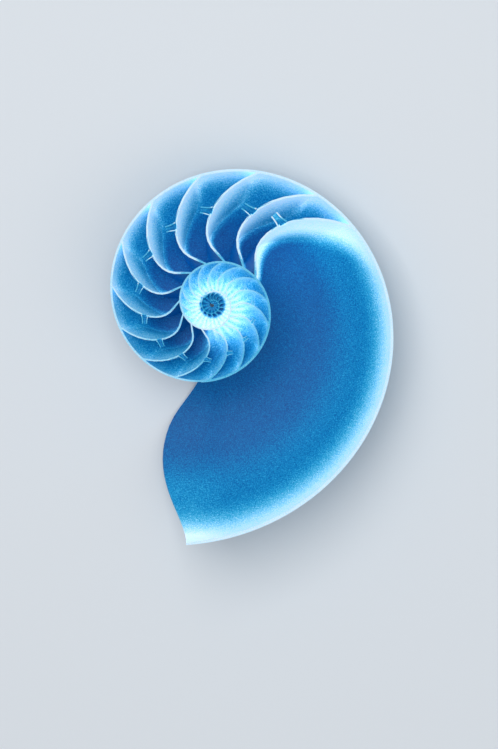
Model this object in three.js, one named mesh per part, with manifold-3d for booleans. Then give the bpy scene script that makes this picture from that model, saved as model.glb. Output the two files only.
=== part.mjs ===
// One half of a nautilus shell, sawn through its plane of symmetry: the outer wall, the septa that
// divide it into chambers, and the open body chamber, all grown as a single piece.
//
// The shell is a logarithmic spiral. A place on it is given by three numbers:
//   turn    the angle grown through, in radians: 0 at the outer lip, negative towards the centre
//   reach   the distance from the coil's axis, as a share of the whorl's outer radius at that turn
//   depth   the distance below the sawn face, as a share of the same radius
// Lengths are millimetres. In the shell's own frame the coil's axis is Z and the sawn face is Z = 0,
// facing up. The last group lays the half on its rounded flank, as it comes to rest on a table.

import * as THREE from "three";
import { mergeVertices } from "three/addons/utils/BufferGeometryUtils.js";
import Module from "manifold-3d";

const wasm = await Module();
wasm.setup();

const degrees = Math.PI / 180;
const fullTurn = 2 * Math.PI;

// Coil
const lipRadius = 108.5; // from the coil's axis to the outer lip
const growthPerWhorl = 3.13; // how much the radius grows in one full turn
const lipAngle = -96.3 * degrees; // where the outer lip lies about the axis, from +X
const firstTurn = -940 * degrees; // where the first chamber's closed end lies

// Whorl section, as shares of the whorl's outer radius
const widestReach = 0.47; // where the whorl is widest
const halfWidth = 0.37; // from the sawn face to the widest point
const umbilicalReach = 0.4; // how far the section runs inwards from its widest point
const fullness = 0.9; // under 1, the flanks are fuller than an ellipse

// Walls
const wallBase = 0.35;
const wallGrowth = 0.0115; // wall thickness is wallBase + wallGrowth * outer radius
const septumBase = 0.3;
const septumGrowth = 0.01;
const dorsalLayer = 0.25; // laid down over the whorl before, inside each chamber
const whorlRoot = 0.04; // how deep each whorl is rooted in the one before, as a share of its radius

// Septa
const lastSeptum = -149.3 * degrees;
const lastChamberPitch = 17 * degrees; // the last chamber is short, as in a grown animal
const chamberPitch = 24.5 * degrees;
const siphuncleReach = 0.7;
const siphuncleRadius = 0.02; // as a share of the whorl's outer radius
const siphuncleHoleLength = 0.09; // the same

// How far a septum curves forward of its hindmost line, in degrees: along the sawn face
const sawCurve = {
  hindmostReach: 0.55,
  outer: 97,
  outerPower: 1.7,
  inner: 17,
  innerRun: 0.21,
  innerLimit: 0.22,
  innerPower: 2.5,
};

// and along the flank: a saddle outside, a shallow lobe, and a rise into the umbilicus
const flankCurve = {
  saddle: 22,
  saddleReach: [0.46, 0.82],
  lobe: -2,
  lobeReach: [0.4, 0.6],
  umbilical: 24,
  umbilicalReach: 0.4,
  umbilicalRun: 0.32,
  umbilicalPower: 1.5,
};

// Lip
const lipSalient = 14 * degrees; // how far the lip's side runs ahead of its middle
const salientReach = 0.52;
const salientFade = { outer: 0.48, inner: 0.3 };
const salientPower = 1.5;

// Blocks of points that the whorls and hollows are made from: steps from the sawn face to the
// umbilical seam, across the whorl, and along it
const arcSpan = 235 * degrees;
const whorlSteps = (arc) => [9, 1, 10 + 4 * arc];
const bodySteps = [9, 4, 15];
const chamberSteps = [
  { radius: 25, steps: [7, 4, 3] },
  { radius: 12, steps: [6, 3, 2] },
  { radius: 0, steps: [5, 3, 2] },
];
const holeSides = { radius: 25, large: 8, small: 6 };
const middleReach = 0.6; // the reach at which a block's own turn is taken
const whorlStart = -0.01; // depths, above the sawn face, where blocks start before the face is cut
const hollowStart = -0.02;
const hollowShare = 0.94; // a hollow stops this short of the umbilical seam
const pastLip = 40 * degrees;
const slabHeight = 20;
const sliverSize = 0.03; // edges and ridges smaller than this are cleaned away after the cuts
const mergeDistance = 0.002; // corners nearer than this are one corner

// Resting pose: on its flank, with the sawn face up and leaning a little
const restTilt = 10.28 * degrees;
const restHeading = 66.8 * degrees; // the direction, from +X, in which the sawn face leans down

const growthRate = Math.log(growthPerWhorl) / fullTurn;
const outerRadius = (turn) => lipRadius * Math.exp(growthRate * turn);
const wallShare = (turn) => wallBase / outerRadius(turn) + wallGrowth;
const mix = THREE.MathUtils.lerp;

function shellPoint(turn, reach, depth) {
  const radius = outerRadius(turn);
  const angle = lipAngle - turn;
  return [
    radius * reach * Math.cos(angle),
    radius * reach * Math.sin(angle),
    -radius * depth,
  ];
}

// The outside of the whorl's section: angle 0 is the keel on the sawn face, PI is the axis side.
function sectionPoint(angle) {
  const across = Math.cos(angle);
  const run = across > 0 ? 1 - widestReach : umbilicalReach;
  return new THREE.Vector2(
    widestReach + run * across,
    halfWidth * Math.pow(Math.max(Math.sin(angle), 0), fullness),
  );
}

// The same curve moved inwards by a distance, square to itself.
function offsetSectionPoint(angle, distance) {
  const point = sectionPoint(angle);
  if (angle < 1e-3) return point.setX(point.x - distance);
  const ahead = sectionPoint(angle + 1e-4).sub(sectionPoint(angle - 1e-4));
  const inward = new THREE.Vector2(-ahead.y, ahead.x).normalize();
  return point.addScaledVector(inward, distance);
}

// Depth of the section's outside at a reach.
function sectionDepth(reach) {
  const run = reach > widestReach ? 1 - widestReach : umbilicalReach;
  const across = THREE.MathUtils.clamp((reach - widestReach) / run, -1, 1);
  return halfWidth * Math.pow(Math.sqrt(1 - across * across), fullness);
}

// The umbilical seam, where a whorl's wall lands on the whorl before.
function findSeamReach() {
  let low = widestReach - umbilicalReach;
  let high = widestReach / growthPerWhorl;
  for (let step = 0; step < 40; step++) {
    const middle = (low + high) / 2;
    const before = sectionDepth(middle * growthPerWhorl) / growthPerWhorl;
    if (sectionDepth(middle) < before) low = middle;
    else high = middle;
  }
  return high;
}

const sectionAngle = (reach) =>
  Math.acos((reach - widestReach) / umbilicalReach);
const seamReach = findSeamReach();
const seamAngle = sectionAngle(seamReach);
const seamAngleBefore = sectionAngle(seamReach * growthPerWhorl);

function septumAtSaw(reach) {
  const { hindmostReach, outer, outerPower, inner, innerRun, innerLimit, innerPower } = sawCurve;
  const outwards = Math.max(reach - hindmostReach, 0);
  const inwards = Math.min(Math.max(hindmostReach - reach, 0), innerLimit);
  const outerPart = outer * Math.pow(outwards, outerPower);
  return (outerPart + inner * Math.pow(inwards / innerRun, innerPower)) * degrees;
}

function septumAtFlank(reach) {
  const curve = flankCurve;
  const saddle = curve.saddle * THREE.MathUtils.smoothstep(reach, ...curve.saddleReach);
  const lobe = curve.lobe * (1 - THREE.MathUtils.smoothstep(reach, ...curve.lobeReach));
  const inwards = Math.max(curve.umbilicalReach - reach, 0) / curve.umbilicalRun;
  return (saddle + lobe + curve.umbilical * Math.pow(inwards, curve.umbilicalPower)) * degrees;
}

function septumForward(reach, depth) {
  const toFlank = Math.min(depth / Math.max(sectionDepth(reach), 0.02), 1);
  const bowl = toFlank * toFlank;
  return mix(septumAtSaw(reach), septumAtFlank(reach), bowl);
}

// Half a septum's thickness as an angle about the axis, allowing for its slant.
function septumHalfTurn(turn, reach, depth) {
  const radius = outerRadius(turn);
  const step = 0.01;
  const slant =
    (septumForward(reach + step, depth) - septumForward(reach - step, depth)) /
    (2 * step);
  const thickness = septumBase + septumGrowth * radius;
  return (thickness * Math.hypot(1, slant * reach)) / (2 * reach * radius);
}

const septumFace = (turn, reach, depth, side) =>
  turn +
  septumForward(reach, depth) +
  side * septumHalfTurn(turn, reach, depth);

function septumTurns() {
  const turns = [lastSeptum];
  let turn = lastSeptum - lastChamberPitch;
  while (turn > firstTurn) {
    turns.push(turn);
    turn -= chamberPitch;
  }
  turns.push(turn);
  return turns;
}

function lipTurn(reach) {
  const fade = reach > salientReach ? salientFade.outer : salientFade.inner;
  const away = Math.min(Math.abs(reach - salientReach) / fade, 1);
  return lipSalient * Math.pow(Math.cos((away * Math.PI) / 2), salientPower);
}

// A closed solid from a block of points: pointAt takes whole steps along its three directions.
function blockSolid(pointAt, [stepsU, stepsV, stepsW]) {
  const numbers = new Map();
  const positions = [];
  const triangles = [];
  const vertex = (i, j, k) => {
    const key = `${i},${j},${k}`;
    if (!numbers.has(key)) {
      numbers.set(key, positions.length / 3);
      positions.push(...pointAt(i, j, k));
    }
    return numbers.get(key);
  };
  const quad = (a, b, c, d) => triangles.push(a, b, c, a, c, d);
  const pair = (near, far) => {
    quad(...far);
    quad(near[0], near[3], near[2], near[1]);
  };
  for (let i = 0; i < stepsU; i++)
    for (let j = 0; j < stepsV; j++) {
      const ring = (k) => [
        vertex(i, j, k),
        vertex(i + 1, j, k),
        vertex(i + 1, j + 1, k),
        vertex(i, j + 1, k),
      ];
      pair(ring(0), ring(stepsW));
    }
  for (let j = 0; j < stepsV; j++)
    for (let k = 0; k < stepsW; k++) {
      const ring = (i) => [
        vertex(i, j, k),
        vertex(i, j + 1, k),
        vertex(i, j + 1, k + 1),
        vertex(i, j, k + 1),
      ];
      pair(ring(0), ring(stepsU));
    }
  for (let k = 0; k < stepsW; k++)
    for (let i = 0; i < stepsU; i++) {
      const ring = (j) => [
        vertex(i, j, k),
        vertex(i, j, k + 1),
        vertex(i + 1, j, k + 1),
        vertex(i + 1, j, k),
      ];
      pair(ring(0), ring(stepsV));
    }
  return new wasm.Manifold(
    new wasm.Mesh({
      numProp: 3,
      vertProperties: new Float32Array(positions),
      triVerts: new Uint32Array(triangles),
    }),
  );
}

// Solid whorl between two turns, from its outside down to just inside the whorl before.
function whorlSolid(startAt, endAt, steps) {
  const [around, , along] = steps;
  const pointAt = (i, j, k) => {
    const share = i / around;
    const middle = mix(startAt(middleReach, 0), endAt(middleReach, 0), k / along);
    const root = middle - firstTurn < fullTurn ? 0 : whorlRoot * growthPerWhorl;
    const point = j
      ? sectionPoint(share * seamAngle)
      : offsetSectionPoint(share * seamAngleBefore, root).divideScalar(growthPerWhorl);
    const turn = mix(startAt(point.x, point.y), endAt(point.x, point.y), k / along);
    return shellPoint(turn, point.x, i ? point.y : whorlStart);
  };
  return blockSolid(pointAt, steps);
}

// The hollow of one chamber, opened through the sawn face.
function chamberSolid(startAt, endAt, steps) {
  const [around, across, along] = steps;
  const pointAt = (i, j, k) => {
    const share = (i / around) * hollowShare;
    const middle = mix(startAt(middleReach, 0), endAt(middleReach, 0), k / along);
    const wall = wallShare(middle);
    const first = middle - firstTurn < fullTurn;
    const floor = first ? wall : dorsalLayer / outerRadius(middle);
    const outside = offsetSectionPoint(share * seamAngle, wall);
    const inside = offsetSectionPoint(share * seamAngleBefore, -floor * growthPerWhorl)
      .divideScalar(growthPerWhorl);
    const point = inside.lerp(outside, j / across);
    const turn = mix(startAt(point.x, point.y), endAt(point.x, point.y), k / along);
    return shellPoint(turn, point.x, i ? point.y : hollowStart);
  };
  return blockSolid(pointAt, steps);
}

function geometryOf(solid) {
  const mesh = solid.getMesh();
  return new THREE.BufferGeometry()
    .setAttribute("position", new THREE.BufferAttribute(mesh.vertProperties, 3))
    .setIndex(new THREE.BufferAttribute(mesh.triVerts, 1));
}

function closedSolid(geometry) {
  geometry.deleteAttribute("normal");
  geometry.deleteAttribute("uv");
  const merged = mergeVertices(geometry, mergeDistance);
  return new wasm.Manifold(
    new wasm.Mesh({
      numProp: 3,
      vertProperties: merged.attributes.position.array,
      triVerts: new Uint32Array(merged.index.array),
    }),
  );
}

// The hole that the siphuncle leaves in a septum, as a rod to cut with.
function siphuncleHole(turn) {
  const radius = outerRadius(turn);
  const rod = new THREE.CylinderGeometry(
    siphuncleRadius * radius,
    siphuncleRadius * radius,
    siphuncleHoleLength * radius,
    radius > holeSides.radius ? holeSides.large : holeSides.small,
  );
  rod.rotateZ(lipAngle - turn);
  rod.translate(...shellPoint(turn, siphuncleReach, 0));
  return closedSolid(rod);
}

// Every whorl in arcs, from the first chamber's closed end to the lip. Arcs of this span never end
// at the same angle about the axis in two neighbouring whorls.
function solidWhorls(turns) {
  const closedEnd = (reach, depth) => septumFace(turns.at(-1), reach, depth, -1);
  const arcs = Math.round(-turns.at(-1) / arcSpan);
  const endOfArc = (arc) => mix(turns.at(-1), 0, arc / arcs);
  return Array.from({ length: arcs }, (_, arc) => {
    const startAt = arc ? () => endOfArc(arc) : closedEnd;
    const endAt = arc < arcs - 1 ? () => endOfArc(arc + 1) : lipTurn;
    return whorlSolid(startAt, endAt, whorlSteps(arc));
  });
}

function chambers(turns) {
  return turns.slice(0, -1).map((turn, index) => {
    const startAt = (reach, depth) => septumFace(turns[index + 1], reach, depth, 1);
    const endAt = (reach, depth) => septumFace(turn, reach, depth, -1);
    const { steps } = chamberSteps.find(({ radius }) => outerRadius(turn) > radius);
    return chamberSolid(startAt, endAt, steps);
  });
}

function bodyChamber(turns) {
  const startAt = (reach, depth) => septumFace(turns[0], reach, depth, 1);
  return chamberSolid(startAt, () => pastLip, bodySteps);
}

function aboveSaw() {
  const slab = new THREE.BoxGeometry(4 * lipRadius, 4 * lipRadius, slabHeight);
  return closedSolid(slab.translate(0, 0, slabHeight / 2));
}

const turns = septumTurns();
const holes = turns
  .slice(0, -1)
  .map((turn) => siphuncleHole(turn + septumForward(siphuncleReach, 0)));
const solid = wasm.Manifold.union(solidWhorls(turns))
  .subtract(wasm.Manifold.union([...chambers(turns), bodyChamber(turns), ...holes]))
  .subtract(aboveSaw());

// Booleans leave slivers along the cuts and specks of no volume beside the shell itself.
const cleaned = closedSolid(geometryOf(solid.simplify(sliverSize)));
const shell = cleaned.decompose().reduce((a, b) => (a.volume() > b.volume() ? a : b));
const geometry = geometryOf(shell);
geometry.computeVertexNormals();

const shellHalf = new THREE.Mesh(
  geometry,
  new THREE.MeshStandardMaterial({ color: 0x9fd0ea, roughness: 0.35, metalness: 0 }),
);
shellHalf.name = "shell_half";

const leanAxis = new THREE.Vector3(-Math.sin(restHeading), Math.cos(restHeading), 0);
shellHalf.rotateOnAxis(leanAxis, restTilt);

// The lowest point is at height 0, and the origin is under the middle of the shell's box.
const group = new THREE.Group();
group.add(shellHalf);
const box = new THREE.Box3().setFromObject(group, true);
const middle = box.getCenter(new THREE.Vector3());
shellHalf.position.set(-middle.x, -middle.y, -box.min.z);
export default group;
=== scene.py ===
import math
import time

import bmesh
import bpy
import numpy as np
from mathutils import Matrix, Vector


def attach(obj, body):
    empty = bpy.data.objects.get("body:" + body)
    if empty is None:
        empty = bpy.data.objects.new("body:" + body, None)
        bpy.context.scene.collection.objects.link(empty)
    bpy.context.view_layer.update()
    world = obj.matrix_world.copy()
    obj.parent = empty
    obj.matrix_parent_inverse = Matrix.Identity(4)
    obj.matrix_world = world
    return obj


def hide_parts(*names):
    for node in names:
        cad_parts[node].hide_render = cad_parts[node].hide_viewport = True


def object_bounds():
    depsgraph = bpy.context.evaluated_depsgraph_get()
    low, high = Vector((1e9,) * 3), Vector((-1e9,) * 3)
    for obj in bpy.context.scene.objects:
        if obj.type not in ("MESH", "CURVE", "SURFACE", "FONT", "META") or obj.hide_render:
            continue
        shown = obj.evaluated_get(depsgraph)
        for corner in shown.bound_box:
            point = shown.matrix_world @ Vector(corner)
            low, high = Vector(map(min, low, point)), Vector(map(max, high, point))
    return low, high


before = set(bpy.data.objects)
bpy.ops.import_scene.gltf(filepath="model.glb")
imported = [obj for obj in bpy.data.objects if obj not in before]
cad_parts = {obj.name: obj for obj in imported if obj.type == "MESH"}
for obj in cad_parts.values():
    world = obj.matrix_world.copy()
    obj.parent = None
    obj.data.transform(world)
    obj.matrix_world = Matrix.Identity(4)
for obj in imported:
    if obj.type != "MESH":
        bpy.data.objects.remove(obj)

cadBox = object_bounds()
started = time.perf_counter()

# The shell grows as a spiral. A place on it is told by three numbers:
#   turn   the angle grown through in radians, 0 at the outer lip and negative towards the centre
#   reach  the distance from the coil's axis, as a share of the whorl's outer radius there
#   depth  the distance under the sawn face, as a share of the same radius
shell = {
    "lipRadius": 0.1085,  # metres, from the coil's axis to the lip
    "growthPerWhorl": 3.13,
    "lipAngle": math.radians(-96.3),
    "firstTurn": math.radians(-957.3),  # closed end of the first chamber
    "widestReach": 0.47,
    "halfWidth": 0.37,
    "umbilicalReach": 0.40,
    "fullness": 0.9,
    "seamReach": 0.08142,  # where a whorl's wall lands on the whorl before
    "wallBase": 0.00035,
    "wallGrowth": 0.0115,
    "whorlRoot": 0.04,
    "lipSalient": math.radians(14.0),  # how far the lip's side runs ahead of its middle
    "lipReach": 0.52,
    "lipFadeOuter": 0.48,
    "lipFadeInner": 0.30,
    "lipThinning": 0.55,
}

septa = {
    "last": math.radians(-149.3),
    "lastPitch": math.radians(17.0),
    "pitch": math.radians(24.5),
    "chambers": 33,
    "base": 0.0003,
    "growth": 0.010,
    "dorsalLayer": 0.00025,
    "hollowShare": 0.94,  # each hollow stops short of the umbilical seam
}

# How far a septum curves ahead of its hindmost line, in degrees
septumCurve = {
    "hindmostReach": 0.55,
    "outer": 97.0,
    "outerPower": 1.7,
    "inner": 17.0,
    "innerLimit": 0.22,
    "innerRun": 0.21,
    "innerPower": 2.5,
    "saddle": 22.0,
    "saddleReach": (0.46, 0.82),
    "lobe": -2.0,
    "lobeReach": (0.4, 0.6),
    "umbilical": 24.0,
    "umbilicalReach": 0.4,
    "umbilicalRun": 0.32,
    "umbilicalPower": 1.5,
}

siphuncle = {
    "reach": 0.70,  # all shares of the whorl's outer radius
    "boreAtSeptum": 0.029,
    "boreAtTip": 0.017,
    "neckAtSeptum": 0.040,
    "neckAtTip": 0.026,
    "neckLength": 0.085,
    "lean": math.radians(20.0),  # outwards from the spiral, nearly square to the septum
}

saw = {
    "depth": 0.00003,  # how much the saw takes off below the shell's middle plane
}

rest = {
    "tilt": math.radians(10.28),
    "heading": math.radians(66.8),
}


class Socket:
    # wraps one output, so that node maths reads as sums
    def __init__(self, bench, output):
        self.bench = bench
        self.output = output

    def __add__(self, other):
        return self.bench.maths("ADD", self, other)

    def __radd__(self, other):
        return self.bench.maths("ADD", other, self)

    def __sub__(self, other):
        return self.bench.maths("SUBTRACT", self, other)

    def __rsub__(self, other):
        return self.bench.maths("SUBTRACT", other, self)

    def __mul__(self, other):
        return self.bench.maths("MULTIPLY", self, other)

    def __rmul__(self, other):
        return self.bench.maths("MULTIPLY", other, self)

    def __truediv__(self, other):
        return self.bench.maths("DIVIDE", self, other)

    def __rtruediv__(self, other):
        return self.bench.maths("DIVIDE", other, self)

    def __pow__(self, other):
        return self.bench.maths("POWER", self, other)

    def __neg__(self):
        return self.bench.maths("MULTIPLY", self, -1.0)

    def __lt__(self, other):
        return self.bench.maths("LESS_THAN", self, other)

    def __gt__(self, other):
        return self.bench.maths("GREATER_THAN", self, other)


class Bench:
    # builds the nodes of one tree
    def __init__(self, tree):
        self.tree = tree

    def node(self, kind, settings=None, sockets=None):
        made = self.tree.nodes.new(kind)
        for name, value in (settings or {}).items():
            if name == "stops":
                self.setStops(made.color_ramp, value)
            else:
                setattr(made, name, value)
        for name, value in (sockets or {}).items():
            target = made.inputs[name]
            if isinstance(value, Socket):
                self.tree.links.new(value.output, target)
            else:
                target.default_value = value
        return made

    def setStops(self, ramp, stops):
        while len(ramp.elements) < len(stops):
            ramp.elements.new(1.0)
        for element, (place, colour) in zip(ramp.elements, stops):
            element.position = place
            element.color = (*colour, 1.0)

    def out(self, made, name=0):
        return Socket(self, made.outputs[name])

    def maths(self, operation, *terms, clamp=False):
        settings = {"operation": operation, "use_clamp": clamp}
        made = self.node("ShaderNodeMath", settings, dict(enumerate(terms)))
        return self.out(made)

    def sin(self, x):
        return self.maths("SINE", x)

    def cos(self, x):
        return self.maths("COSINE", x)

    def exp(self, x):
        return self.maths("EXPONENT", x)

    def sqrt(self, x):
        return self.maths("SQRT", x)

    def size(self, x):
        return self.maths("ABSOLUTE", x)

    def least(self, x, y):
        return self.maths("MINIMUM", x, y)

    def most(self, x, y):
        return self.maths("MAXIMUM", x, y)

    def within(self, x):
        return self.maths("ADD", x, 0.0, clamp=True)

    def blend(self, a, b, share):
        return a + (b - a) * share

    def rise(self, x, low, high):
        # 0 below low, 1 above high, smooth between
        share = self.within((x - low) / (high - low))
        return share * share * (3.0 - 2.0 * share)

    def vector(self, x, y, z):
        return self.out(self.node("ShaderNodeCombineXYZ", None, {0: x, 1: y, 2: z}))

    def parts(self, vector):
        made = self.node("ShaderNodeSeparateXYZ", None, {0: vector})
        return [self.out(made, axis) for axis in "XYZ"]


class ArrayBench:
    # the same sums on arrays of numbers
    cos = staticmethod(np.cos)
    exp = staticmethod(np.exp)
    sqrt = staticmethod(np.sqrt)
    size = staticmethod(np.abs)
    least = staticmethod(np.minimum)
    most = staticmethod(np.maximum)

    def blend(self, a, b, share):
        return a + (b - a) * share

    def rise(self, x, low, high):
        share = np.clip((x - low) / (high - low), 0.0, 1.0)
        return share * share * (3.0 - 2.0 * share)


class ShellMaths:
    # the shell's own rules, as sums on a bench of nodes or of arrays
    def __init__(self, bench, given):
        self.bench = bench
        self.given = given
        self.rate = math.log(shell["growthPerWhorl"]) / (2 * math.pi)
        umbilicalCos = (shell["seamReach"] - shell["widestReach"]) / shell["umbilicalReach"]
        self.seamAngle = math.acos(umbilicalCos)
        grown = shell["seamReach"] * shell["growthPerWhorl"]
        beforeCos = (grown - shell["widestReach"]) / shell["umbilicalReach"]
        self.seamAngleBefore = math.acos(beforeCos)

    def radius(self, turn):
        return self.given["Lip radius"] * self.bench.exp(turn * self.rate)

    def run(self, outer):
        wide = 1.0 - shell["widestReach"]
        return shell["umbilicalReach"] + outer * (wide - shell["umbilicalReach"])

    def section(self, angle, inset):
        # a point on the whorl's section, moved inwards by a share of its radius
        b = self.bench
        across = b.cos(angle)
        rise = b.most(b.sin(angle), 0.002)
        run = self.run(across > 0.0)
        full = shell["fullness"]
        depth = shell["halfWidth"] * rise**full
        runSlope = -run * rise
        depthSlope = shell["halfWidth"] * full * rise ** (full - 1.0) * across
        length = b.sqrt(runSlope * runSlope + depthSlope * depthSlope)
        reach = shell["widestReach"] + run * across - inset * depthSlope / length
        return reach, depth + inset * runSlope / length

    def sectionDepth(self, reach):
        b = self.bench
        run = self.run(reach > shell["widestReach"])
        across = b.least(b.most((reach - shell["widestReach"]) / run, -1.0), 1.0)
        return shell["halfWidth"] * b.sqrt(1.0 - across * across) ** shell["fullness"]

    def septumLine(self, reach, toFlank):
        # how far a septum lies ahead: toFlank is 0 on the sawn face and 1 on the flank
        b = self.bench
        curve = septumCurve
        outer = b.most(reach - curve["hindmostReach"], 0.0)
        inner = b.least(b.most(curve["hindmostReach"] - reach, 0.0), curve["innerLimit"])
        saw = curve["outer"] * outer ** curve["outerPower"]
        saw = saw + curve["inner"] * (inner / curve["innerRun"]) ** curve["innerPower"]
        saddle = curve["saddle"] * b.rise(reach, *curve["saddleReach"])
        lobe = curve["lobe"] * (1.0 - b.rise(reach, *curve["lobeReach"]))
        inwards = b.most(curve["umbilicalReach"] - reach, 0.0) / curve["umbilicalRun"]
        flank = saddle + lobe + curve["umbilical"] * inwards ** curve["umbilicalPower"]
        return b.blend(saw, flank, toFlank * toFlank) * math.radians(1.0)

    def septumForward(self, reach, depth):
        b = self.bench
        toFlank = b.least(depth / b.most(self.sectionDepth(reach), 0.02), 1.0)
        return self.septumLine(reach, toFlank)

    def septumFaces(self, startTurn, endTurn, reach, depth):
        # the front of the septum behind a hollow, and the back of the one ahead
        b = self.bench
        forward = self.septumForward(reach, depth)
        step = 0.01
        ahead = self.septumForward(reach + step, depth)
        slant = (ahead - forward) / step * reach
        lean = b.sqrt(1.0 + slant * slant) / (2.0 * reach)
        startRadius = self.radius(startTurn)
        endRadius = self.radius(endTurn)
        base = self.given["Septum base"]
        startHalf = (base / startRadius + septa["growth"]) * lean
        endHalf = (base / endRadius + septa["growth"]) * lean
        return startTurn + forward + startHalf, endTurn + forward - endHalf

    def lipTurn(self, reach):
        b = self.bench
        outer = reach > shell["lipReach"]
        fade = shell["lipFadeInner"] + outer * (shell["lipFadeOuter"] - shell["lipFadeInner"])
        away = b.least(b.size(reach - shell["lipReach"]) / fade, 1.0)
        return shell["lipSalient"] * b.most(b.cos(away * (math.pi / 2)), 0.0) ** 1.5

    def place(self, turn, reach, depth):
        b = self.bench
        radius = self.radius(turn)
        angle = shell["lipAngle"] - turn
        return b.vector(
            radius * reach * b.cos(angle),
            radius * reach * b.sin(angle),
            -radius * depth,
        )


def newGeometryTree(name, inputs):
    tree = bpy.data.node_groups.new(name, "GeometryNodeTree")
    for label, value in inputs.items():
        if value is None:
            tree.interface.new_socket(label, in_out="INPUT", socket_type="NodeSocketGeometry")
            continue
        made = tree.interface.new_socket(label, in_out="INPUT", socket_type="NodeSocketFloat")
        made.default_value = value
    tree.interface.new_socket("Mesh", in_out="OUTPUT", socket_type="NodeSocketGeometry")
    bench = Bench(tree)
    entry = bench.node("NodeGroupInput")
    return bench, {label: bench.out(entry, label) for label in inputs}


def closeTree(bench, mesh):
    exit = bench.node("NodeGroupOutput")
    bench.tree.links.new(mesh.output, exit.inputs[0])
    return bench.tree


def useTree(bench, tree, sockets):
    return bench.out(bench.node("GeometryNodeGroup", {"node_tree": tree}, sockets))


def attribute(bench, name, kind="FLOAT"):
    made = bench.node("GeometryNodeInputNamedAttribute", {"data_type": kind}, {"Name": name})
    return bench.out(made)


def stored(bench, mesh, name, value, kind="FLOAT"):
    made = bench.node(
        "GeometryNodeStoreNamedAttribute",
        {"data_type": kind, "domain": "POINT"},
        {"Geometry": mesh, "Name": name, "Value": value},
    )
    return bench.out(made)


def cellArray(bench, count, steps):
    # cubes made of cells: "cell" is a corner's place in its cube, "number" tells the cubes apart
    line = bench.out(bench.node("GeometryNodeMeshLine", None, {"Count": count}))
    points = stored(bench, line, "number", bench.out(bench.node("GeometryNodeInputIndex")))
    sides = {f"Vertices {axis}": cells + 1 for axis, cells in zip("XYZ", steps)}
    cube = bench.out(bench.node("GeometryNodeMeshCube", None, {"Size": (1.0, 1.0, 1.0), **sides}))
    position = bench.out(bench.node("GeometryNodeInputPosition"))
    cube = stored(bench, cube, "cell", position, "FLOAT_VECTOR")
    placed = bench.node("GeometryNodeInstanceOnPoints", None, {"Points": points, "Instance": cube})
    return bench.out(bench.node("GeometryNodeRealizeInstances", None, {0: bench.out(placed)}))


def shaped(bench, mesh, position):
    moved = bench.node("GeometryNodeSetPosition", None, {"Geometry": mesh, "Position": position})
    return bench.out(moved)


def cutOrJoin(bench, operation, first, second):
    settings = {"operation": operation, "solver": "MANIFOLD"}
    made = bench.node("GeometryNodeMeshBoolean", settings)
    slot = "Mesh 1" if operation == "DIFFERENCE" else "Mesh 2"
    bench.tree.links.new(first.output, made.inputs[slot])
    bench.tree.links.new(second.output, made.inputs["Mesh 2"])
    return bench.out(made)


def sectionCells(bench, rows):
    # the first row of cells stands above the sawn face; the rest share the section out
    u, v, w = [part + 0.5 for part in bench.parts(attribute(bench, "cell", "FLOAT_VECTOR"))]
    share = bench.most(u - 1.0 / rows, 0.0) / (1.0 - 1.0 / rows)
    return share, u < 0.5 / rows, v, w


sizeInputs = {
    "Lip radius": shell["lipRadius"],
    "Wall base": shell["wallBase"],
    "Septum base": septa["base"],
    "Dorsal layer": septa["dorsalLayer"],
}


def makeArcTree():
    # one arc of solid whorl, from its outside down to just inside the whorl before
    inputs = {"Cells": None, "Rows": 1.0, "Steps": 1.0, "Arc": 0.0, "Arcs": 1.0, **sizeInputs}
    bench, given = newGeometryTree("whorlArc", inputs)
    rules = ShellMaths(bench, given)
    share, above, v, w = sectionCells(bench, given["Rows"])
    step = bench.maths("ROUND", w * given["Steps"])
    along = (given["Arc"] * given["Steps"] + step) / (given["Arcs"] * given["Steps"])
    middle = shell["firstTurn"] * (1.0 - along)
    growth = shell["growthPerWhorl"]
    firstWhorl = middle < shell["firstTurn"] + 2 * math.pi
    root = shell["whorlRoot"] * growth * (1.0 - firstWhorl)
    outReach, outDepth = rules.section(share * rules.seamAngle, 0.0)
    inReach, inDepth = rules.section(share * rules.seamAngleBefore, root)
    outside = v > 0.5
    reach = bench.blend(inReach / growth, outReach, outside)
    depth = bench.blend(bench.blend(inDepth / growth, outDepth, outside), -0.02, above)
    firstArc = given["Arc"] < 0.5
    lastArc = given["Arc"] > given["Arcs"] - 1.5
    closedEnd = (rules.septumForward(reach, depth) - 0.05) * (1.0 - w) * (1.0 - w)
    turn = middle + lastArc * rules.lipTurn(reach) * w * w + firstArc * closedEnd
    return closeTree(bench, shaped(bench, given["Cells"], rules.place(turn, reach, depth)))


def makeHollowTree():
    # the hollow between two septa, or between the last septum and beyond the lip
    inputs = {"Cells": None, "Rows": 1.0, "Start turn": 0.0, "End turn": 0.0, "Past lip": 0.0}
    bench, given = newGeometryTree("hollow", {**inputs, **sizeInputs})
    rules = ShellMaths(bench, given)
    share, above, v, w = sectionCells(bench, given["Rows"])
    share = share * septa["hollowShare"]
    growth = shell["growthPerWhorl"]
    middle = bench.blend(given["Start turn"] + 0.02, given["End turn"], w)
    radius = rules.radius(middle)
    thinning = given["Past lip"] * shell["lipThinning"] * bench.rise(middle, math.radians(-14.0), 0.0)
    wall = (given["Wall base"] / radius + shell["wallGrowth"]) * (1.0 - thinning)
    firstWhorl = middle < shell["firstTurn"] + 2 * math.pi
    floor = bench.blend(given["Dorsal layer"] / radius, wall, firstWhorl)
    outReach, outDepth = rules.section(share * rules.seamAngle, wall)
    inReach, inDepth = rules.section(share * rules.seamAngleBefore, floor * -growth)
    reach = bench.blend(inReach / growth, outReach, v)
    depth = bench.blend(inDepth / growth, outDepth, v)
    start, end = rules.septumFaces(given["Start turn"], given["End turn"], reach, depth)
    end = bench.blend(end, given["End turn"], given["Past lip"])
    turn = bench.blend(start, end, w)
    depth = bench.blend(depth, -0.03, above)
    return closeTree(bench, shaped(bench, given["Cells"], rules.place(turn, reach, depth)))


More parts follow.
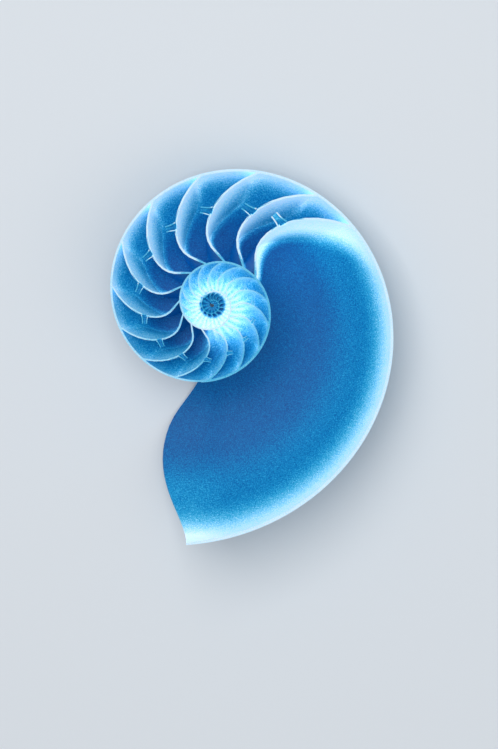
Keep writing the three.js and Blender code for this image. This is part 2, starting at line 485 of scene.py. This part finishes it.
def chamberArray(bench, sizes, hollowTree, firstNumber, count, steps):
    cells = cellArray(bench, count, steps)
    number = attribute(bench, "number") + float(firstNumber)
    start = septa["last"] - septa["lastPitch"] - number * septa["pitch"]
    pitch = septa["pitch"] - (number < 0.5) * (septa["pitch"] - septa["lastPitch"])
    turns = {"Start turn": start, "End turn": start + pitch}
    sockets = {"Cells": cells, "Rows": float(steps[0]), **turns, **sizes}
    return useTree(bench, hollowTree, sockets)


def bodyChamber(bench, sizes, hollowTree, steps):
    cells = cellArray(bench, 1, steps)
    turns = {"Start turn": septa["last"], "End turn": math.radians(40.0), "Past lip": 1.0}
    sockets = {"Cells": cells, "Rows": float(steps[0]), **turns, **sizes}
    return useTree(bench, hollowTree, sockets)


def siphuncleRods(bench, sizes, atSeptum, atTip, start, end):
    # one flared rod on the back of each septum, widest where it leaves the septum
    rules = ShellMaths(bench, sizes)
    line = bench.out(bench.node("GeometryNodeMeshLine", None, {"Count": septa["chambers"]}))
    index = bench.out(bench.node("GeometryNodeInputIndex"))
    turn = septa["last"] - index * septa["pitch"]
    turn = turn + (index > 0.5) * (septa["pitch"] - septa["lastPitch"])
    turn = turn + rules.septumForward(siphuncle["reach"], 0.0)
    tube = {"Vertices": 28, "Side Segments": 8, "Radius": 1.0, "Depth": 1.0}
    rod = bench.out(bench.node("GeometryNodeMeshCylinder", None, tube))
    x, y, z = bench.parts(bench.out(bench.node("GeometryNodeInputPosition")))
    along = start + (z + 0.5) * (end - start)
    left = bench.within(1.0 - along / siphuncle["neckLength"])
    wide = atTip + (atSeptum - atTip) * left**3.0
    rod = shaped(bench, rod, bench.vector(x * wide, along, -y * wide))
    heading = shell["lipAngle"] - turn + (math.atan(rules.rate) - siphuncle["lean"])
    euler = bench.vector(0.0, 0.0, heading)
    rotation = bench.out(bench.node("FunctionNodeEulerToRotation", None, {0: euler}))
    points = shaped(bench, line, rules.place(turn, siphuncle["reach"], 0.0))
    radius = rules.radius(turn)
    scale = bench.vector(radius, radius, radius)
    sockets = {"Points": points, "Instance": rod, "Rotation": rotation, "Scale": scale}
    placed = bench.out(bench.node("GeometryNodeInstanceOnPoints", None, sockets))
    return bench.out(bench.node("GeometryNodeRealizeInstances", None, {0: placed}))


def makeShellTree(material):
    bench, given = newGeometryTree("nautilusHalf", {**sizeInputs, "Saw depth": saw["depth"]})
    sizes = {label: given[label] for label in sizeInputs}
    arcTree = makeArcTree()
    hollowTree = makeHollowTree()
    arcSteps = [(44, 1, 48), (44, 1, 60), (44, 1, 76), (44, 1, 92)]
    whorls = None
    for number, steps in enumerate(arcSteps):
        counts = {"Rows": float(steps[0]), "Steps": float(steps[2])}
        counts.update({"Arc": float(number), "Arcs": float(len(arcSteps))})
        sockets = {"Cells": cellArray(bench, 1, steps), **counts, **sizes}
        arc = useTree(bench, arcTree, sockets)
        whorls = cutOrJoin(bench, "UNION", whorls, arc) if whorls else arc
    large = 15
    small = septa["chambers"] - large
    hollows = bench.node("GeometryNodeJoinGeometry")
    for mesh in (
        chamberArray(bench, sizes, hollowTree, 0, large, (26, 12, 6)),
        chamberArray(bench, sizes, hollowTree, large, small, (14, 8, 4)),
        bodyChamber(bench, sizes, hollowTree, (44, 16, 84)),
    ):
        bench.tree.links.new(mesh.output, hollows.inputs[0])
    carved = cutOrJoin(bench, "DIFFERENCE", whorls, bench.out(hollows))
    length = siphuncle["neckLength"]
    neck = (siphuncle["neckAtSeptum"], siphuncle["neckAtTip"], -0.002, length)
    carved = cutOrJoin(bench, "UNION", carved, siphuncleRods(bench, sizes, *neck))
    bore = (siphuncle["boreAtSeptum"], siphuncle["boreAtTip"], -0.03, length + 0.02)
    carved = cutOrJoin(bench, "DIFFERENCE", carved, siphuncleRods(bench, sizes, *bore))
    slab = bench.out(bench.node("GeometryNodeMeshCube", None, {"Size": (0.5, 0.5, 0.02)}))
    lift = {"Translation": bench.vector(0.0, 0.0, 0.01 - given["Saw depth"])}
    slab = bench.out(bench.node("GeometryNodeTransform", None, {"Geometry": slab, **lift}))
    carved = cutOrJoin(bench, "DIFFERENCE", carved, slab)
    real = bench.out(bench.node("GeometryNodeRealizeInstances", None, {0: carved}))
    painted = bench.node("GeometryNodeSetMaterial", None, {"Geometry": real, "Material": material})
    return closeTree(bench, bench.out(painted))


def grownMesh(tree, name):
    # runs a tree on an empty object and keeps the result as a plain mesh
    seed = bpy.data.objects.new(name + "Seed", bpy.data.meshes.new(name + "Seed"))
    bpy.context.scene.collection.objects.link(seed)
    modifier = seed.modifiers.new("grow", "NODES")
    modifier.node_group = tree
    evaluated = seed.evaluated_get(bpy.context.evaluated_depsgraph_get())
    mesh = bpy.data.meshes.new_from_object(evaluated)
    bpy.data.objects.remove(seed)
    mesh.name = name
    return mesh


def keepLargestPiece(mesh):
    # booleans leave specks of no volume beside the shell
    sheet = bmesh.new()
    sheet.from_mesh(mesh)
    bmesh.ops.dissolve_degenerate(sheet, dist=1e-6, edges=sheet.edges)
    waiting = set(sheet.verts)
    islands = []
    while waiting:
        reached = [waiting.pop()]
        for vertex in reached:
            for edge in vertex.link_edges:
                other = edge.other_vert(vertex)
                if other in waiting:
                    waiting.remove(other)
                    reached.append(other)
        islands.append(reached)
    largest = max(islands, key=len)
    specks = [vertex for island in islands if island is not largest for vertex in island]
    bmesh.ops.delete(sheet, geom=specks, context="VERTS")
    for face in sheet.faces:
        face.smooth = True
    sheet.to_mesh(mesh)
    sheet.free()


def tellPlaces(rules, places, normals, sawDepth):
    # tells, for places in the shell's own frame, what part of the shell each is on
    air = places + normals * 0.00012  # just clear of the surface
    atSaw = (places[:, 2] > -1.5 * sawDepth) & (normals[:, 2] > 0.99)
    angle = np.arctan2(air[:, 1], air[:, 0])
    newest = (shell["lipAngle"] - angle) % (2 * math.pi) - 2 * math.pi
    fromAxis = np.hypot(air[:, 0], air[:, 1])
    told = {name: np.zeros(len(places)) for name in ("reach", "turn", "bowl")}
    told["outside"] = np.ones(len(places))
    nearest = np.full(len(places), 1e9)
    for whorl in range(-1, 4):  # the innermost whorl that holds a place is its own
        turn = newest - whorl * 2 * math.pi
        radius = shell["lipRadius"] * np.exp(rules.rate * turn)
        reach = fromAxis / radius
        depth = -air[:, 2] / radius
        full = rules.sectionDepth(reach)
        grown = turn < (rules.lipTurn(reach) + 0.03 if whorl < 0 else 1.0)
        within = grown & (reach < 1.0) & (reach > shell["seamReach"]) & (depth < full)
        within |= grown & (reach < 1.03) & atSaw
        within &= turn > shell["firstTurn"] - 0.1
        gap = np.abs(depth - full) * radius + np.where(grown, 0.0, 1.0)
        take = within | ((gap < nearest) & (told["outside"] > 0.5))
        nearest = np.where(take, gap, nearest)
        bowl = np.clip(depth / np.maximum(full, 0.02), 0.0, 1.0)
        for name, values in (("reach", reach), ("turn", turn), ("bowl", bowl)):
            told[name] = np.where(take, values, told[name])
        told["outside"] = np.where(within, 0.0, told["outside"])
    return told


def surveyMesh(mesh, sawDepth):
    # stores on every corner where it lies on the shell, for the finish to follow
    mesh.set_sharp_from_angle(angle=math.radians(38.0))
    corners = np.empty(len(mesh.loops), np.int32)
    mesh.loops.foreach_get("vertex_index", corners)
    places = np.empty(len(mesh.vertices) * 3)
    mesh.vertices.foreach_get("co", places)
    places = places.reshape(-1, 3)[corners]
    normals = np.empty(len(mesh.loops) * 3)
    mesh.corner_normals.foreach_get("vector", normals)
    normals = normals.reshape(-1, 3)
    rules = ShellMaths(ArrayBench(), {})
    told = tellPlaces(rules, places, normals, sawDepth)
    atSaw = rules.septumLine(told["reach"], 0.0)
    atFlank = rules.septumLine(told["reach"], 1.0)
    ahead = told["turn"] - rules.septumLine(told["reach"], told["bowl"]) - septa["last"]
    own = ahead + septa["lastPitch"]
    own = np.where(ahead > 0.0, ahead, np.where(own > 0.0, own, own % septa["pitch"]))
    seen = own + told["turn"] - atSaw - septa["last"] - ahead
    told["body"] = (ahead > 0.0).astype(float)
    told["own"] = np.degrees(seen)  # ahead of the septum behind, as seen from over the sawn face
    told["suture"] = np.degrees(seen - (atFlank - atSaw))
    told["growth"] = told["turn"] - rules.lipTurn(told["reach"])
    told["sawn"] = ((normals[:, 2] > 0.99) & (places[:, 2] > -sawDepth * 1.5)).astype(float)
    told["fromAxis"] = 1000.0 * np.hypot(places[:, 0], places[:, 1])
    glowX, glowY = finish["glowShift"]
    told["fromGlow"] = 1000.0 * np.hypot(places[:, 0] - glowX, places[:, 1] - glowY)
    for name, values in told.items():
        layer = mesh.attributes.new(name, "FLOAT", "CORNER")
        layer.data.foreach_set("value", values.astype(np.float32))


def layToRest(mesh):
    # tips the half onto its flank, lowest point on the ground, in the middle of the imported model's box
    axis = Vector((-math.sin(rest["heading"]), math.cos(rest["heading"]), 0.0))
    mesh.transform(Matrix.Rotation(rest["tilt"], 4, axis))
    places = np.empty(len(mesh.vertices) * 3)
    mesh.vertices.foreach_get("co", places)
    places = places.reshape(-1, 3)
    low, high = places.min(axis=0), places.max(axis=0)
    middle = (cadBox[0] + cadBox[1]) / 2
    move = Vector((middle.x - (low[0] + high[0]) / 2, middle.y - (low[1] + high[1]) / 2, -low[2]))
    mesh.transform(Matrix.Translation(move))
    turned = Matrix.Rotation(rest["tilt"], 3, axis)
    return move, turned


finish = {
    "palette": (  # paleness to colour, as screen shades
        (0.00, (0, 66, 128)),
        (0.18, (0, 95, 163)),
        (0.42, (14, 135, 192)),
        (0.63, (56, 170, 214)),
        (0.86, (138, 208, 240)),
        (1.00, (208, 233, 250)),
    ),
    # strength of the painted glow
    "paintedGlowStrength": 0.55,
    "grainSize": 0.00055,
    "roughness": 0.42,
    "coreRadius": (4.6, 6.4),  # millimetres from the axis, where the dark centre ends
    "glowRadius": (9.0, 24.5),
    "glowShift": (0.0022, -0.0018),  # metres from the axis
    "petals": 13.0,
    "spokes": 28.0,
}


def linear(shade):
    share = shade / 255.0
    return share / 12.92 if share < 0.04 else ((share + 0.055) / 1.055) ** 2.4


def makeShellSkin(material):
    material.use_nodes = True
    material.node_tree.nodes.clear()
    bench = Bench(material.node_tree)

    def given(name):
        made = bench.node("ShaderNodeAttribute", {"attribute_name": name})
        return bench.out(made, "Fac")

    place = bench.out(bench.node("ShaderNodeTexCoord"), "Object")

    def noise(size, detail=2.0, roughness=0.5):
        sockets = {"Vector": place, "Scale": 1.0 / size, "Detail": detail}
        made = bench.node("ShaderNodeTexNoise", None, {**sockets, "Roughness": roughness})
        return bench.out(made, "Fac")

    rise, blend = bench.rise, bench.blend
    reach, turn, outside, sawn = given("reach"), given("turn"), given("outside"), given("sawn")
    body, own, suture = given("body"), given("own"), given("suture")
    growth, fromAxis, fromGlow = given("growth"), given("fromAxis"), given("fromGlow")
    fine = noise(finish["grainSize"], 3.0, 0.75) - 0.5
    cloud = noise(0.010, 4.0, 0.6) - 0.5

    # inside: deep blue floors, paler towards the outer wall; the dark floors are painted shade in the
    # hollows, the pale outer wall is painted light
    paintedRimLight = rise(reach, 0.79, 0.985)
    floor = 0.18 + 0.16 * rise(reach, 0.59, 0.79)
    young = rise(turn, math.radians(-330.0), math.radians(-215.0))
    chamber = floor + (0.22 + 0.33 * young) * paintedRimLight * paintedRimLight
    chamber = chamber + 0.05 * rise(reach, 0.62, 0.80) + cloud * 0.10
    floor = floor + 0.60 * paintedRimLight * paintedRimLight
    # in front of each septum a pale band of painted light on the septum's face, widest over the middle
    # of the whorl's outer half
    share = own / math.degrees(septa["pitch"])
    reachesTo = 0.20 + 0.62 * rise(reach, 0.42, 0.68) - 0.28 * rise(reach, 0.80, 0.95)
    paintedSeptumLight = 1.0 - rise(share / reachesTo, 0.04, 1.0)
    chamber = blend(chamber, 0.95, paintedSeptumLight * bench.sqrt(paintedSeptumLight) * (0.58 + 0.42 * young))
    # the seam of each septum on the flank shows as a brighter streak
    streak = 1.0 - rise(bench.maths("ABSOLUTE", suture), 0.3, 2.6)
    streak = streak * rise(reach, 0.56, 0.64) * (1.0 - rise(reach, 0.88, 0.96))
    chamber = chamber + streak * (0.10 + cloud * 0.4) * (0.5 + 0.5 * young)

    # the last septum's face in the body chamber gets the same pale band of painted light
    paintedLastSeptumLight = 1.0 - rise(own, 3.0 + 3.5 * rise(reach, 0.6, 0.9), 11.0 + 12.0 * rise(reach, 0.5, 0.9))
    nearLip = rise(turn, math.radians(-13.0), math.radians(1.0))
    bodyFloor = floor + 0.10 * nearLip * rise(reach, 0.6, 0.85) + cloud * 0.05
    inside = blend(chamber, blend(bodyFloor, 0.97, paintedLastSeptumLight), body)

    # the inmost whorls glow pale round a dark centre, with lines running out from it
    glow = 1.0 - rise(fromGlow, *finish["glowRadius"])
    spokes = bench.sin((turn + fromAxis * 0.02) * finish["spokes"]) * 0.5 + 0.5
    inner = rise(turn, math.radians(-345.0), math.radians(-365.0))
    inside = blend(inside, 1.0, glow * (0.84 + 0.16 * spokes) * inner)
    petals = bench.sin(turn * finish["petals"] + fromAxis * 0.5) * 0.5 + 0.5
    core = 1.0 - rise(fromAxis, *finish["coreRadius"])
    inside = blend(inside, 0.16 + petals * 0.3, core)

    # outside: pale round the keel, growth lines following the lip
    lines = bench.sin(growth * 260.0 + cloud * 16.0) * 0.5 + 0.5
    outer = 0.42 + 0.42 * rise(reach, 0.72, 0.98) + lines * 0.10 + cloud * 0.35
    pale = blend(inside, outer, outside)
    edge = 0.98 - 0.10 * (1.0 - young) - (1.0 - glow) * inner * 0.2
    necks = rise(share, 0.45, 0.60) * (1.0 - rise(share, 0.90, 0.96))
    necks = necks * rise(reach, 0.62, 0.65) * (1.0 - rise(reach, 0.79, 0.82))
    edge = blend(edge, 0.66, necks)
    edge = blend(edge, 1.0, glow * inner * 0.8)
    edge = blend(edge, 0.45 + 0.2 * petals, core)
    pale = bench.within(blend(pale, edge + cloud * 0.06, sawn))
    speck = fine * (0.25 + 4.6 * pale * (1.0 - pale) * (1.0 - 0.7 * sawn))
    tone = bench.within(pale + speck)
    stops = [(at, tuple(linear(shade) for shade in colour)) for at, colour in finish["palette"]]
    ramp = bench.node("ShaderNodeValToRGB", {"stops": stops}, {"Fac": tone})

    # painted glow: an emission in the shell's own colour, strongest where it is painted pale, standing
    # in for light coming through the thin wall
    paintedGlowShare = (1.0 - outside) * (0.12 + 0.88 * pale * pale) * (1.0 - 0.8 * sawn)
    paintedGlowColour = bench.node("ShaderNodeMix", {"data_type": "RGBA"}, {"Factor": paintedGlowShare})
    paintedGlowColour.inputs[6].default_value = (0.0, 0.0, 0.0, 1.0)
    bench.tree.links.new(ramp.outputs["Color"], paintedGlowColour.inputs[7])

    ripple = lines * outside + cloud * 0.5
    height = {"Height": ripple + fine * 0.25}
    bump = bench.node("ShaderNodeBump", None, {"Strength": 0.25, "Distance": 0.0003, **height})
    look = {
        "Base Color": bench.out(ramp, "Color"),
        "Roughness": bench.within(finish["roughness"] + fine * 0.15 + sawn * 0.15),
        "Normal": bench.out(bump),
        "IOR": 1.53,
        "Specular IOR Level": 0.12,
        # the emission is painted glow; the shell is no lamp
        "Emission Color": bench.out(paintedGlowColour, 2),
        "Emission Strength": finish["paintedGlowStrength"],
        "Subsurface Weight": 0.10,
        "Subsurface Radius": (0.3, 1.0, 1.2),
        "Subsurface Scale": 0.0010,
    }
    shader = bench.node("ShaderNodeBsdfPrincipled", None, look)
    output = bench.node("ShaderNodeOutputMaterial")
    bench.tree.links.new(shader.outputs[0], output.inputs[0])


shellSkin = bpy.data.materials.new("shellSkin")
makeShellSkin(shellSkin)
mesh = grownMesh(makeShellTree(shellSkin), "nautilusHalf")
print("shell grown", len(mesh.vertices), len(mesh.polygons), round(time.perf_counter() - started, 1))
keepLargestPiece(mesh)
surveyMesh(mesh, saw["depth"])
coilCentre, turned = layToRest(mesh)
nautilusHalf = bpy.data.objects.new("nautilusHalf", mesh)
bpy.context.scene.collection.objects.link(nautilusHalf)
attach(nautilusHalf, "root")
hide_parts("shell_half")
print("shell surveyed and laid down", round(time.perf_counter() - started, 1))

studio = {
    "floorSize": 3.0,
    "floorColour": (0.72, 0.76, 0.80, 1.0),
    "worldStrength": 0.42,
    "keyEnergy": 17.0,
    "keySize": 1.3,
    "keyPlace": (-0.25, 0.55, 1.6),
    "fillEnergy": 4.0,
    "fillSize": 1.4,
    "fillPlace": (0.9, -0.5, 1.3),
}

view = {
    "lens": 200.0,
    "frameHeight": 0.3364,  # metres across the picture's long side, in the sawn face
    "aim": Vector((0.0164, -0.0312, 0.0)),  # from the coil's centre, in the sawn face
}


def softLight(name, energy, size, place):
    lamp = bpy.data.lights.new(name, "AREA")
    lamp.energy = energy
    lamp.size = size
    holder = bpy.data.objects.new(name, lamp)
    holder.location = place
    holder.rotation_euler = (-Vector(place)).to_track_quat("-Z", "Y").to_euler()
    bpy.context.scene.collection.objects.link(holder)


def makeStudio():
    floorMesh = bpy.data.meshes.new("floor")
    half = studio["floorSize"] / 2
    corners = [(-half, -half, 0), (half, -half, 0), (half, half, 0), (-half, half, 0)]
    floorMesh.from_pydata(corners, [], [(0, 1, 2, 3)])
    floor = bpy.data.objects.new("floor", floorMesh)
    bpy.context.scene.collection.objects.link(floor)
    paper = bpy.data.materials.new("floorPaper")
    paper.use_nodes = True
    paint = paper.node_tree.nodes["Principled BSDF"]
    paint.inputs["Base Color"].default_value = studio["floorColour"]
    paint.inputs["Roughness"].default_value = 0.9
    floorMesh.materials.append(paper)
    world = bpy.data.worlds.new("softRoom")
    bpy.context.scene.world = world
    world.use_nodes = True
    room = world.node_tree.nodes["Background"]
    room.inputs["Color"].default_value = (0.93, 0.96, 1.0, 1.0)
    room.inputs["Strength"].default_value = studio["worldStrength"]
    softLight("keyLight", studio["keyEnergy"], studio["keySize"], studio["keyPlace"])
    softLight("fillLight", studio["fillEnergy"], studio["fillSize"], studio["fillPlace"])


def makeCamera():
    # looks square at the sawn face
    lens = bpy.data.cameras.new("camera")
    lens.lens = view["lens"]
    lens.sensor_width = 36.0
    lens.sensor_fit = "AUTO"
    distance = view["frameHeight"] * view["lens"] / lens.sensor_width
    camera = bpy.data.objects.new("camera", lens)
    frameTurn = turned.to_4x4()
    target = coilCentre + turned @ view["aim"]
    away = turned @ Vector((0.0, 0.0, distance))
    camera.matrix_world = Matrix.Translation(target + away) @ frameTurn
    lens.clip_start = 0.05
    bpy.context.scene.collection.objects.link(camera)
    bpy.context.scene.camera = camera


makeStudio()
makeCamera()
bpy.context.scene.view_settings.view_transform = "Standard"
print("studio ready", round(time.perf_counter() - started, 1))

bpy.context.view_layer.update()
